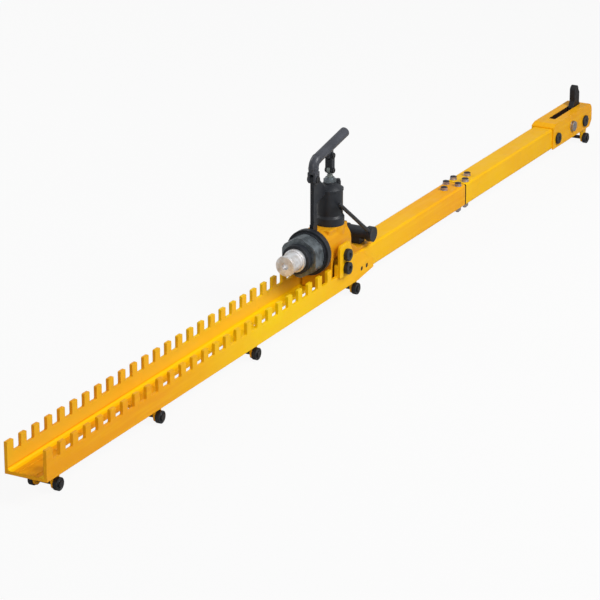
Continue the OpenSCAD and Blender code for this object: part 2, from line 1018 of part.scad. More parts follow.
// Post that carries the handle, with its web to the lid
module fulcrum_post() {
    rim_x = can_x - rim_r - seat_gap;
    color("dimgray") at_seat() difference() {
        side_plate(-post_t, post_t) {
            translate([fulcrum_x - post_half, can_low]) square([2 * post_half, fulcrum_z - can_low]);
            translate([fulcrum_x, fulcrum_z]) circle(post_eye_r);
            polygon([
                [fulcrum_x, fulcrum_z + 4],
                [fulcrum_x, can_top - 12],
                [rim_x, can_top - 2],
                [rim_x, lid_top - 2],
                [fulcrum_x + post_eye_r + 2, fulcrum_z + 2]
            ]);
            translate([fulcrum_x - post_foot_half, can_low]) square([2 * post_foot_half, post_foot_h]);
        }
        translate([fulcrum_x, 0, fulcrum_z]) bar_y(-channel_w, channel_w, pivot_pin_r + hole_gap);
    }
}

// Bend of the handle tube, a little short at both ends for the weld beads
module handle_bend() {
    short = 360 * bead_gap / (2 * PI * bend_r);
    translate([fulcrum_x + bend_r, 0, bend_z]) rotate([90, 0, 0])
        rotate([0, 0, 180 - bend_angle + short]) rotate_extrude(angle = bend_angle - 2 * short)
            translate([bend_r, 0]) circle(socket_r);
}

// Bent tube that takes the pump lever, forked over the post
module handle_socket() {
    fork_top = fulcrum_z + 12;
    bead_r = socket_r + 0.5;
    color("dimgray") at_seat() difference() {
        union() {
            translate([fulcrum_x, 0, fork_top - cut]) cylinder(h = bend_z - bead_gap - fork_top + cut, r = socket_r);
            translate([fulcrum_x, 0, bend_z - bead_l / 2]) cylinder(h = bead_l, r = bead_r);
            side_plate(-fork_out, fork_out) {
                translate([fulcrum_x, fulcrum_z]) circle(ear_r + 1);
                translate([fulcrum_x - ear_r - 1, fulcrum_z]) square([2 * ear_r + 2, 15]);
            }
            handle_bend();
            translate([bend_end_x, 0, bend_end_z]) rotate([0, 90 - arm_tilt, 0]) {
                translate([0, 0, bead_gap]) cylinder(h = arm_l - bead_gap, r = socket_r);
                translate([0, 0, -bead_l / 2]) cylinder(h = bead_l, r = bead_r);
            }
            side_plate(-ear_t, ear_t) {
                translate([can_x, link_top_z]) circle(ear_r);
                translate([can_x - ear_r, link_top_z]) square([2 * ear_r, 14]);
            }
        }
        translate([fulcrum_x - 2 * ear_r, -fork_in, fulcrum_z - 2 * ear_r])
            cube([4 * ear_r, 2 * fork_in, fork_top - fulcrum_z + 2 * ear_r]);
        translate([bend_end_x, 0, bend_end_z]) rotate([0, 90 - arm_tilt, 0])
            translate([0, 0, arm_l - socket_depth]) cylinder(h = socket_depth + cut, r = socket_bore_r);
        translate([fulcrum_x, 0, fulcrum_z]) bar_y(-channel_w, channel_w, pivot_pin_r + run_gap);
        translate([can_x, 0, link_top_z]) bar_y(-channel_w, channel_w, link_pin_r + run_gap);
    }
}

module handle_pivot_pin() {
    head_t = 2;
    color("silver") at_seat() translate([fulcrum_x, 0, fulcrum_z]) {
        bar_y(-fork_out - seat_gap - head_t / 2, fork_out + seat_gap + head_t / 2, pivot_pin_r);
        both_bars(fork_out + seat_gap, fork_out + seat_gap + head_t, pivot_pin_r + 3);
    }
}

// Link with a fork at each end that joins the handle to the plunger
module pump_link() {
    low_z = link_top_z - link_l;
    color("dimgray") at_seat() translate([can_x, 0, 0]) difference() {
        side_plate(-link_out, link_out) {
            translate([0, link_top_z]) circle(link_eye_r);
            translate([0, low_z]) circle(link_eye_r);
            translate([-link_half, low_z]) square([2 * link_half, link_l]);
        }
        for (z = [low_z, link_top_z]) {
            translate([0, 0, z]) bar_y(-link_in, link_in, plunger_eye_r + link_play);
        }
        translate([0, 0, link_top_z]) bar_y(-channel_w, channel_w, link_pin_r + hole_gap);
        translate([0, 0, low_z]) bar_y(-channel_w, channel_w, lower_pin_r + hole_gap);
    }
}

module link_pins() {
    head_t = 2;
    low_z = link_top_z - link_l;
    color("silver") at_seat() translate([can_x, 0, 0]) {
        translate([0, 0, link_top_z]) {
            bar_y(-link_out - head_t / 2, link_out + head_t / 2, link_pin_r);
            both_bars(link_out, link_out + head_t, link_pin_r + 1.5);
        }
        translate([0, 0, low_z]) {
            bar_y(-link_out - head_t / 2, link_out + head_t / 2, lower_pin_r);
            both_bars(link_out, link_out + head_t, lower_pin_r + 1.8);
        }
    }
}

// Tail of the casting that carries the release valve over the tube
module valve_bracket() {
    rib_l = 56;
    rib_h = 34;
    rib_t = 6;
    color("gold") at_seat() {
        translate([body_rear, -bracket_half, bracket_low])
            cube([bracket_end - body_rear, 2 * bracket_half, bracket_t]);
        for (y = [-bracket_half, bracket_half - rib_t]) {
            side_plate(y, y + rib_t) polygon([
                [body_rear, bracket_top - cut],
                [body_rear + rib_l, bracket_top - cut],
                [body_rear + rib_l, bracket_top],
                [body_rear, bracket_top + rib_h]
            ]);
        }
    }
}

// Valve housing on its foot, with a round cap at the far end
module valve_barrel() {
    color("dimgray") at_seat() translate([valve_x, 0, 0]) difference() {
        union() {
            translate([0, 0, valve_z]) {
                bar_y(valve_near, valve_far, valve_r);
                bar_y(valve_far, valve_far + valve_cap_t, valve_cap_r);
            }
            translate([-valve_foot_half, -valve_foot_half, bracket_top])
                cube([2 * valve_foot_half, 2 * valve_foot_half, valve_z - bracket_top]);
        }
        translate([0, 0, valve_z]) bar_y(valve_near - cut, valve_near + valve_stem_l, valve_stem_r + run_gap);
    }
}

// Hub, stem and thin rod of the release lever
module release_lever() {
    color("dimgray") at_seat() translate([valve_x, 0, valve_z]) {
        bar_y(hub_near, hub_far, hub_r);
        bar_y(hub_far - cut, valve_near + valve_stem_l - 1, valve_stem_r);
        translate([0, lever_y, 0]) rotate([0, lever_angle - 90, 0]) {
            cylinder(h = lever_l, r = lever_r);
            translate([0, 0, lever_l]) sphere(lever_r);
        }
    }
}

rack_wall_near();
rack_wall_far();
end_cross_plate();
second_cross_plate();
third_cross_plate();
packing_plate_near();
packing_plate_far();
packing_screws();
inner_box_beam();
outer_box_beam();
splice_bar();
splice_bolts();
splice_nuts();
hook_head();
hook();
hook_pivot_pin();
head_fixing_pin();
hook_rest_bolt();
roller_bracket_1();
roller_bracket_2();
roller_bracket_3();
roller_bracket_4();
roller_bracket_5();
roller_axle_1();
roller_axle_2();
roller_axle_3();
roller_axle_4();
roller_axle_5();
roller_wheels_1();
roller_wheels_2();
roller_wheels_3();
roller_wheels_4();
roller_wheels_5();
jack_body();
saddle_plate_near();
saddle_plate_far();
saddle_screws();
seat_bushes();
front_flange();
gland_nut();
nose_ring();
wiper_collar();
ram();
piston();
piston_seal();
reservoir();
reservoir_lid();
filler_plug();
pump_barrel();
pump_gland_nut();
pump_plunger();
fulcrum_post();
handle_socket();
handle_pivot_pin();
pump_link();
link_pins();
valve_bracket();
valve_barrel();
release_lever();
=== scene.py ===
import math

import bpy
from mathutils import Matrix, Vector


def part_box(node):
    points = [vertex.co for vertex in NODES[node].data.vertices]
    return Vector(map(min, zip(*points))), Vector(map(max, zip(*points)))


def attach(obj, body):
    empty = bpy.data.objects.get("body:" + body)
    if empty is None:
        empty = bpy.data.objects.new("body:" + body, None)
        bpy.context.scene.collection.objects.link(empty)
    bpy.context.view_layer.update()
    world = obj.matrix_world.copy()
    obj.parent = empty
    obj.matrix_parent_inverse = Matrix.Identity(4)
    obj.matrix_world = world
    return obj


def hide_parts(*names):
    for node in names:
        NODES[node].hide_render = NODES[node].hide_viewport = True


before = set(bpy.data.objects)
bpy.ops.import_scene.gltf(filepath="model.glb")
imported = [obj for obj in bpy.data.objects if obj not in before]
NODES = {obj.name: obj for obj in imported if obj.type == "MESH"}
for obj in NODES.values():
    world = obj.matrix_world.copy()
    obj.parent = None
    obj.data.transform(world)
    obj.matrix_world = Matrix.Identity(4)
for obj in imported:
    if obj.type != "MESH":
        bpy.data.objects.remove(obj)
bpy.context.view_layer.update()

bl_info = {
    "name": "Rail Gauge Adjuster",
    "version": (1, 0, 0),
    "blender": (4, 5, 0),
    "location": "3D View > Sidebar > Gauge Adjuster",
    "description": "Dresses the rail gauge adjuster: paint, steel, heads, wheels, welds and studio",
    "category": "Object",
}

MM = 0.001

# Numbers of the roller pairs, counted from the open end.
STATIONS = range(1, 6)

# The nodes that wear each finish.
FINISHES = {
    "rack_gloss": (
        "rack_wall_near", "rack_wall_far", "end_cross_plate", "second_cross_plate",
        "third_cross_plate", "saddle_plate_near", "saddle_plate_far", "packing_plate_near",
        "packing_plate_far",
    ),
    "beam_gloss": (
        "inner_box_beam", "outer_box_beam", "roller_bracket_1", "roller_bracket_2",
        "roller_bracket_3", "roller_bracket_4", "roller_bracket_5",
    ),
    "head_gloss": ("hook_head",),
    "casting_gloss": ("jack_body", "valve_bracket"),
    "black_enamel": (
        "hook_pivot_pin", "head_fixing_pin", "saddle_screws", "front_flange", "nose_ring",
        "reservoir", "reservoir_lid", "filler_plug", "fulcrum_post", "pump_link",
        "valve_barrel", "release_lever", "roller_wheels_1", "roller_wheels_2",
        "roller_wheels_3", "roller_wheels_4", "roller_wheels_5",
    ),
    "tube_enamel": ("handle_socket",),
    # The hook wears a darker black enamel, painted shade.
    "hook_enamel": ("hook",),
    "zinc_plate": ("splice_nuts", "hook_rest_bolt", "seat_bushes", "piston", "pump_barrel"),
    "bolt_steel": ("splice_bolts",),
    "ground_steel": ("ram", "wiper_collar"),
    "pump_steel": ("pump_plunger",),
    "blued_steel": ("gland_nut", "pump_gland_nut"),
    "black_steel": (
        "splice_bar", "packing_screws", "link_pins", "handle_pivot_pin", "roller_axle_1",
        "roller_axle_2", "roller_axle_3", "roller_axle_4", "roller_axle_5",
    ),
    "seal_rubber": ("piston_seal",),
}

# Tones that the yellow paint takes in places.
BEAM_ORANGE = (0.85, 0.365, 0.005)
PALE_YELLOW = (0.93, 0.52, 0.006)
# Painted light, bright yellow, on the ledges of the rack.
LIT_LEDGE_YELLOW = (0.95, 0.58, 0.002)
# Painted light, a paler yellow, on the inside of the rack's walls.
LIT_WALL_YELLOW = (0.84, 0.50, 0.028)
RUBBED_YELLOW = (0.30, 0.17, 0.05)
DIRTY_YELLOW = (0.34, 0.18, 0.03)
# Painted shade, near black, inside the hook head's slot and the beam's joint gap.
PAINTED_SHADE = (0.030, 0.016, 0.012)

# Camera, in metres: its place, its line of sight and the way to its right.
CAMERA_PLACE = (-4.959, -2.561, 2.033)
CAMERA_FORWARD = (0.82611, 0.44505, -0.34563)
CAMERA_RIGHT = (0.47428, -0.88037, 0.0)
SENSOR_WIDTH = 36.0

# Square lamps, in metres: name, place, what they face, side, and the property with the power.
LAMPS = (
    ("key_lamp", (0.1, -2.3, 2.3), (0.0, 0.0, 0.0), 1.4, "key_power"),
    ("end_lamp", (-5.5, -2.2, 2.3), (0.0, 0.0, 0.0), 2.0, "end_power"),
    ("back_lamp", (0.2, 2.8, 1.9), (0.0, 0.0, 0.0), 2.0, "back_power"),
    ("top_lamp", (0.1, 0.2, 3.2), (0.1, 0.0, 0.0), 3.4, "fill_power"),
)

# Places of the colours among the inputs and outputs of a Mix node.
MIX_ONE, MIX_TWO, MIX_RESULT = 6, 7, 2


# Building the materials

class Shader:
    """A material with a Principled surface and short calls for its nodes."""

    def __init__(self, name):
        old = bpy.data.materials.get(name)
        if old:
            bpy.data.materials.remove(old)
        self.material = bpy.data.materials.new(name)
        self.material.use_nodes = True
        self.tree = self.material.node_tree
        self.surface = self.tree.nodes["Principled BSDF"]
        self.place = self.add("ShaderNodeTexCoord").outputs["Object"]

    def add(self, kind, **values):
        node = self.tree.nodes.new(kind)
        for key, value in values.items():
            setattr(node, key, value)
        return node

    def link(self, a, b):
        self.tree.links.new(a, b)

    def axes(self, place=None):
        """The X, Y and Z of the object coordinates, or of another vector."""
        node = self.add("ShaderNodeSeparateXYZ")
        self.link(place or self.place, node.inputs[0])
        return node.outputs

    def stretched(self, x, y, z):
        """The object coordinates, scaled along each axis."""
        node = self.add("ShaderNodeMapping")
        node.inputs["Scale"].default_value = (x, y, z)
        self.link(self.place, node.inputs["Vector"])
        return node.outputs["Vector"]

    def noise(self, scale, detail=3.0, rough=0.5, place=None):
        node = self.add("ShaderNodeTexNoise")
        node.inputs["Scale"].default_value = scale
        node.inputs["Detail"].default_value = detail
        node.inputs["Roughness"].default_value = rough
        self.link(place or self.place, node.inputs["Vector"])
        return node.outputs["Fac"]

    def spread(self, value, low, high, out_low=0.0, out_high=1.0):
        """Maps low to high onto out_low to out_high, and holds the value beyond them."""
        node = self.add("ShaderNodeMapRange")
        node.inputs["From Min"].default_value = low
        node.inputs["From Max"].default_value = high
        node.inputs["To Min"].default_value = out_low
        node.inputs["To Max"].default_value = out_high
        self.link(value, node.inputs["Value"])
        return node.outputs["Result"]

    def times(self, a, b):
        """A socket times a number or another socket."""
        node = self.add("ShaderNodeMath", operation="MULTIPLY")
        self.link(a, node.inputs[0])
        if isinstance(b, float):
            node.inputs[1].default_value = b
        else:
            self.link(b, node.inputs[1])
        return node.outputs["Value"]

    def blend(self, fac, one, two):
        """Colour one where fac is 0, colour two where it is 1. Each is a socket or a colour."""
        node = self.add("ShaderNodeMix", data_type="RGBA")
        self.link(fac, node.inputs["Factor"])
        for value, socket in ((one, node.inputs[MIX_ONE]), (two, node.inputs[MIX_TWO])):
            if isinstance(value, tuple):
                socket.default_value = value + (1.0,)
            else:
                self.link(value, socket)
        return node.outputs[MIX_RESULT]

    def along_x(self, stops):
        """Colours that run into each other along X: each stop is a place and a colour."""
        first, last = stops[0][0], stops[-1][0]
        node = self.add("ShaderNodeValToRGB")
        elements = node.color_ramp.elements
        elements[0].color = stops[0][1] + (1.0,)
        elements[1].color = stops[-1][1] + (1.0,)
        for place, colour in stops[1:-1]:
            elements.new((place - first) / (last - first)).color = colour + (1.0,)
        self.link(self.spread(self.axes()[0], first, last), node.inputs["Fac"])
        return node.outputs["Color"]

    def edges(self, radius):
        """How sharp the edge here is, from 0 to 1, and the normal as rounded by radius."""
        bevel = self.add("ShaderNodeBevel", samples=6)
        bevel.inputs["Radius"].default_value = radius
        true = self.add("ShaderNodeNewGeometry")
        dot = self.add("ShaderNodeVectorMath", operation="DOT_PRODUCT")
        self.link(bevel.outputs["Normal"], dot.inputs[0])
        self.link(true.outputs["Normal"], dot.inputs[1])
        return self.spread(dot.outputs["Value"], 0.995, 0.80), bevel.outputs["Normal"]

    def inside(self, low, high):
        """1 inside the box from low to high and 0 outside. Y is read without its sign, so the
        box is the same on the near and the far side."""
        fold = self.add("ShaderNodeVectorMath", operation="ABSOLUTE")
        self.link(self.place, fold.inputs[0])
        plain, folded = self.axes(), self.axes(fold.outputs[0])
        masks = []
        for value, start, end in zip((plain[0], folded[1], plain[2]), low, high):
            mask = self.add("ShaderNodeMath", operation="COMPARE")
            mask.inputs[1].default_value = (start + end) / 2
            mask.inputs[2].default_value = (end - start) / 2
            self.link(value, mask.inputs[0])
            masks.append(mask.outputs[0])
        return self.times(self.times(masks[0], masks[1]), masks[2])

    def bumps(self, height, strength, distance, normal=None):
        node = self.add("ShaderNodeBump")
        node.inputs["Strength"].default_value = strength
        node.inputs["Distance"].default_value = distance
        self.link(height, node.inputs["Height"])
        if normal is not None:
            self.link(normal, node.inputs["Normal"])
        self.link(node.outputs["Normal"], self.surface.inputs["Normal"])

    def colour(self, socket):
        self.link(socket, self.surface.inputs["Base Color"])

    def roughness(self, socket):
        self.link(socket, self.surface.inputs["Roughness"])

    def fixed(self, **values):
        """Numbers that are the same all over, set on the surface's own sockets."""
        for key, value in values.items():
            self.surface.inputs[key.replace("_", " ")].default_value = value


def gloss_paint(name, base, deep, pale, wear, drift=None, shade_box=None, strong_light_box=None, soft_light_box=None):
    """Sprayed gloss paint: cloudy tone, fine orange peel, dulled edges and a little grime.
    Its tone follows the stops of drift along X, or else turns from deep to base in slow waves.
    Three boxes, each given as its low and high corner, differ: bare holds painted shade, near
    black, pooled a strong painted light in bright yellow, and thin a softer, paler painted light."""
    s = Shader(name)
    if drift:
        tone = s.along_x(drift)
    else:
        waves = s.noise(2.6, detail=2.0, place=s.stretched(1.6, 1.0, 1.0))
        tone = s.blend(s.spread(waves, 0.36, 0.62), deep, base)
    cloud = s.spread(s.noise(11.0, detail=4.0, rough=0.55), 0.35, 0.7)
    tone = s.blend(s.times(cloud, 0.35), tone, deep)
    streak = s.spread(s.noise(6.0, place=s.stretched(1.2, 22.0, 22.0)), 0.45, 0.75)
    tone = s.blend(s.times(streak, 0.45), tone, pale)
    # Soft painted light, a paler yellow.
    if soft_light_box:
        tone = s.blend(s.times(s.inside(*soft_light_box), 0.85), tone, LIT_WALL_YELLOW)
    # Strong painted light, bright yellow.
    if strong_light_box:
        tone = s.blend(s.inside(*strong_light_box), tone, LIT_LEDGE_YELLOW)
    edge, soft = s.edges(1.2 * MM)
    patch = s.spread(s.noise(55.0, detail=4.0, rough=0.6), 0.46, 0.62)
    tone = s.blend(s.times(s.times(edge, patch), wear), tone, RUBBED_YELLOW)
    grime = s.spread(s.noise(30.0, detail=5.0, rough=0.65), 0.62, 0.78, 0.0, 0.22)
    tone = s.blend(grime, tone, DIRTY_YELLOW)
    # Painted shade, near black.
    if shade_box:
        tone = s.blend(s.inside(*shade_box), tone, PAINTED_SHADE)
    s.colour(tone)
    s.roughness(s.spread(s.noise(40.0, rough=0.6), 0.3, 0.7, 0.32, 0.48))
    s.fixed(Specular_IOR_Level=0.12)
    orange_peel = s.noise(420.0, detail=2.0)
    s.bumps(orange_peel, 0.10, 0.4 * MM, soft)


def black_paint(name, base, pale, rough):
    """Satin black enamel over cast and turned steel, rubbed a little on its edges."""
    rubbed, dusty = (0.12, 0.13, 0.145), (0.06, 0.06, 0.065)
    s = Shader(name)
    cloud = s.spread(s.noise(22.0, detail=4.0, rough=0.6), 0.35, 0.7)
    tone = s.blend(cloud, base, pale)
    edge, soft = s.edges(1.0 * MM)
    patch = s.spread(s.noise(90.0, detail=4.0, rough=0.6), 0.44, 0.6)
    tone = s.blend(s.times(s.times(edge, patch), 0.6), tone, rubbed)
    dust = s.spread(s.noise(140.0, detail=5.0, rough=0.7), 0.6, 0.8, 0.0, 0.25)
    tone = s.blend(dust, tone, dusty)
    s.colour(tone)
    s.roughness(s.spread(s.noise(60.0, rough=0.6), 0.3, 0.7, rough, rough + 0.18))
    s.fixed(Specular_IOR_Level=0.3)
    s.bumps(s.noise(600.0, rough=0.6), 0.16, 0.4 * MM, soft)


def steel(name, base, deep, rough, line, metal=1.0, capped=None):
    """Bare or plated steel with small stains and fine lines, whose grain is finer along X, Y
    and Z by the factors in line. Above the height capped it is nearly black."""
    dark_top = (0.030, 0.020, 0.024)
    blur = 0.4 * MM
    s = Shader(name)
    stain = s.spread(s.noise(60.0, detail=5.0, rough=0.6), 0.42, 0.68)
    tone = s.blend(stain, base, deep)
    # Nearly black above the height capped.
    if capped:
        above = s.spread(s.axes()[2], capped - blur, capped + blur)
        tone = s.blend(above, tone, dark_top)
    s.colour(tone)
    lines = s.noise(30.0, detail=2.0, place=s.stretched(*line))
    s.roughness(s.spread(lines, 0.3, 0.7, rough, rough + 0.16))
    s.fixed(Metallic=metal)
    soft = s.edges(0.6 * MM)[1]
    s.bumps(lines, 0.07, 0.3 * MM, soft)


def rubber(name):
    """Black rubber with a fine grain."""
    s = Shader(name)
    cloud = s.spread(s.noise(200.0), 0.3, 0.7)
    s.colour(s.blend(cloud, (0.012, 0.012, 0.012), (0.03, 0.03, 0.03)))
    s.roughness(s.spread(s.noise(90.0), 0.3, 0.7, 0.6, 0.8))
    s.bumps(s.noise(700.0), 0.15, 0.3 * MM)


# Helpers for meshes

def set_mode(mode):
    bpy.ops.object.mode_set(mode=mode)


def clear_selection():
    if bpy.context.object and bpy.context.object.mode != "OBJECT":
        set_mode("OBJECT")
    bpy.ops.object.select_all(action="DESELECT")


def make_active(piece):
    clear_selection()
    piece.select_set(True)
    bpy.context.view_layer.objects.active = piece


def pick_faces(piece, test):
    """Selects the faces of the active piece for which test(centre, normal) holds."""
    set_mode("OBJECT")
    for part in (piece.data.polygons, piece.data.edges, piece.data.vertices):
        for element in part:
            element.select = False
    for face in piece.data.polygons:
        face.select = bool(test(face.center, face.normal))
    set_mode("EDIT")
    bpy.ops.mesh.select_mode(type="FACE")


def is_top(centre, normal):
    return normal.z > 0.9


def bake_place(piece):
    """Moves the object's place into its mesh."""
    piece.data.transform(piece.matrix_basis)
    piece.matrix_basis = Matrix.Identity(4)


def settle(piece, name, body, finish, smooth=35.0):
    """Bakes the place into the mesh, smooths and names the piece and lets it ride."""
    make_active(piece)
    bake_place(piece)
    bpy.ops.object.shade_smooth_by_angle(angle=math.radians(smooth))
    piece.name = name
    piece.data.name = name
    piece.data.materials.clear()
    piece.data.materials.append(bpy.data.materials[finish])
    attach(piece, body)
    return piece


def apply_bevel(piece, width, segments, limit):
    """Rounds the edges of the active piece that are sharper than limit, in degrees."""
    bevel = piece.modifiers.new("soft_edges", "BEVEL")
    bevel.width = width
    bevel.segments = segments
    bevel.limit_method = "ANGLE"
    bevel.angle_limit = math.radians(limit)
    bpy.ops.object.modifier_apply(modifier=bevel.name)


def copied(piece, matrix):
    """A copy with a mesh of its own, moved by matrix."""
    twin = piece.copy()
    twin.data = piece.data.copy()
    bpy.context.collection.objects.link(twin)
    twin.data.transform(matrix)
    return twin


def joined(pieces, name):
    """The pieces as one object."""
    clear_selection()
    for piece in pieces:
        piece.select_set(True)
    bpy.context.view_layer.objects.active = pieces[0]
    bpy.ops.object.join()
    pieces[0].name = name
    return pieces[0]


def facing(y_sign):
    """Turns +Z to +Y or -Y."""
    return Matrix.Rotation(math.radians(-90.0 * y_sign), 4, "X")


def corners(node):
    """The node's lowest and highest corner."""
    low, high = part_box(node)
    return Vector(low), Vector(high)


# Turned heads, bolts, wheels and weld beads

def cylinder(sides, radius, depth, bottom=0.0):
    """A new cylinder along +Z from z = bottom."""
    clear_selection()
    bpy.ops.mesh.primitive_cylinder_add(
        vertices=sides, radius=radius, depth=depth, location=(0, 0, bottom + depth / 2))
    piece = bpy.context.object
    bake_place(piece)
    return piece


def turned_head(radius, height, recess):
    """A round head along +Z from z = 0: rounded rim, crowned face and a round recess."""
    rim, slope, land = radius * 0.12, radius * 0.34, radius * 0.54 - recess
    crown, depth, rounding = height * 0.05, height * 0.45, radius * 0.07
    piece = cylinder(48, radius, height)
    pick_faces(piece, is_top)
    bpy.ops.mesh.inset(thickness=rim)
    bpy.ops.mesh.inset(thickness=slope)
    bpy.ops.transform.translate(value=(0, 0, crown))
    bpy.ops.mesh.inset(thickness=land)
    bpy.ops.mesh.extrude_region_move(TRANSFORM_OT_translate={"value": (0, 0, -depth)})
    set_mode("OBJECT")
    apply_bevel(piece, rounding, 3, 60.0)
    return piece


def hex_head(half_flats, height, collar_radius, collar_height):
    """A hexagon head along +Z from z = 0, with its collar and a crowned top."""
    tall = height - collar_height
    corner = half_flats / math.cos(math.radians(30.0))
    rim, crown, rounding = half_flats * 0.10, tall * 0.06, half_flats * 0.05
    collar_rounding = collar_height * 0.35
    collar = cylinder(40, collar_radius, collar_height)
    apply_bevel(collar, collar_rounding, 2, 60.0)
    piece = cylinder(6, corner, tall, bottom=collar_height)
    pick_faces(piece, is_top)
    bpy.ops.mesh.inset(thickness=rim)
    bpy.ops.transform.translate(value=(0, 0, crown))
    set_mode("OBJECT")
    apply_bevel(piece, rounding, 2, 20.0)
    return joined([piece, collar], "hexagon_head")


def bolt_tail(radius, length):
    """The plain end of a bolt along +Z from z = 0, with a rounded tip."""
    rim, rounding = radius * 0.18, radius * 0.14
    piece = cylinder(32, radius, length)
    pick_faces(piece, is_top)
    bpy.ops.mesh.inset(thickness=rim)
    set_mode("OBJECT")
    apply_bevel(piece, rounding, 2, 60.0)
    return piece


def turned_wheel(radius, width):
    """A wheel along +Z from z = 0: rounded tread, sunk face and a raised hub."""
    tyre, wall, sink = radius * 0.16, radius * 0.05, width * 0.14
    web, hub_wall, rise = radius * 0.22, radius * 0.04, width * 0.12
    rounding = radius * 0.07
    piece = cylinder(64, radius, width)
    pick_faces(piece, lambda centre, normal: abs(normal.z) > 0.9)
    bpy.ops.mesh.inset(thickness=tyre)
    bpy.ops.mesh.inset(thickness=wall)
    pick_faces(piece, lambda centre, normal: normal.z > 0.9 and centre.xy.length < radius * 0.5)
    bpy.ops.transform.translate(value=(0, 0, -sink))
    bpy.ops.mesh.inset(thickness=web)
    bpy.ops.mesh.inset(thickness=hub_wall)
    bpy.ops.transform.translate(value=(0, 0, rise))
    set_mode("OBJECT")
    apply_bevel(piece, rounding, 3, 55.0)
    return piece


def weld(runs, radius, name, finish):
    """Rippled beads along straight runs: one flattened drop, copied at even steps and joined."""
    flatness, pitch = 0.62, radius * 0.95
    clear_selection()
    bpy.ops.mesh.primitive_ico_sphere_add(subdivisions=2, radius=radius, location=(0, 0, 0))
    drop = bpy.context.object
    pick_faces(drop, lambda centre, normal: True)
    bpy.ops.transform.resize(value=(1.0, 1.0, flatness))
    set_mode("OBJECT")
    drops = []
    for start, end in runs:
        start, end = Vector(start), Vector(end)
        along = end - start
        steps = max(2, int(along.length / pitch))
        turn = along.to_track_quat("X", "Z").to_matrix().to_4x4()
        for k in range(steps + 1):
            drops.append(copied(drop, Matrix.Translation(start + along * k / steps) @ turn))
    bpy.data.objects.remove(drop)
    return settle(joined(drops, name), name, "frame", finish, smooth=60.0)


# Colours, wear and light that a user would change

class GaugeAdjusterLooks(bpy.types.PropertyGroup):
    """Colours and wear of the dressed tool."""
    paint_yellow: bpy.props.FloatVectorProperty(
        name="Rack yellow", description="Colour of the toothed channel beside the jack",
        subtype="COLOR", size=3, min=0.0, max=1.0, default=(0.88, 0.44, 0.003))
    beam_yellow: bpy.props.FloatVectorProperty(
        name="Beam yellow", description="Colour of the box beam and hook head",
        subtype="COLOR", size=3, min=0.0, max=1.0, default=(0.88, 0.455, 0.003))
    enamel_black: bpy.props.FloatVectorProperty(
        name="Enamel black", description="Colour of the black parts",
        subtype="COLOR", size=3, min=0.0, max=1.0, default=(0.011, 0.0125, 0.016))
    wear: bpy.props.FloatProperty(
        name="Edge wear", description="How much of the paint's edges is rubbed",
        default=0.35, min=0.0, max=1.0, subtype="FACTOR")


class GaugeAdjusterStudio(bpy.types.PropertyGroup):
    """Camera and light of the studio."""
    lens: bpy.props.FloatProperty(
        name="Lens", description="Focal length of the camera",
        default=177.45, min=50.0, max=300.0, subtype="DISTANCE_CAMERA")
    key_power: bpy.props.FloatProperty(
        name="Key light", description="Power of the lamp on the camera's side",
        default=86.0, min=0.0, unit="POWER")
    end_power: bpy.props.FloatProperty(
        name="End light", description="Power of the lamp that faces the open end",
        default=85.0, min=0.0, unit="POWER")
    back_power: bpy.props.FloatProperty(
        name="Back light", description="Power of the lamp behind the tool",
        default=34.0, min=0.0, unit="POWER")
    fill_power: bpy.props.FloatProperty(
        name="Top light", description="Power of the large lamp over the tool",
        default=6.0, min=0.0, unit="POWER")
    sky: bpy.props.FloatProperty(
        name="Room light", description="Strength of the even white surroundings",
        default=0.22, min=0.0, max=2.0, subtype="FACTOR")


# The steps that dress the tool

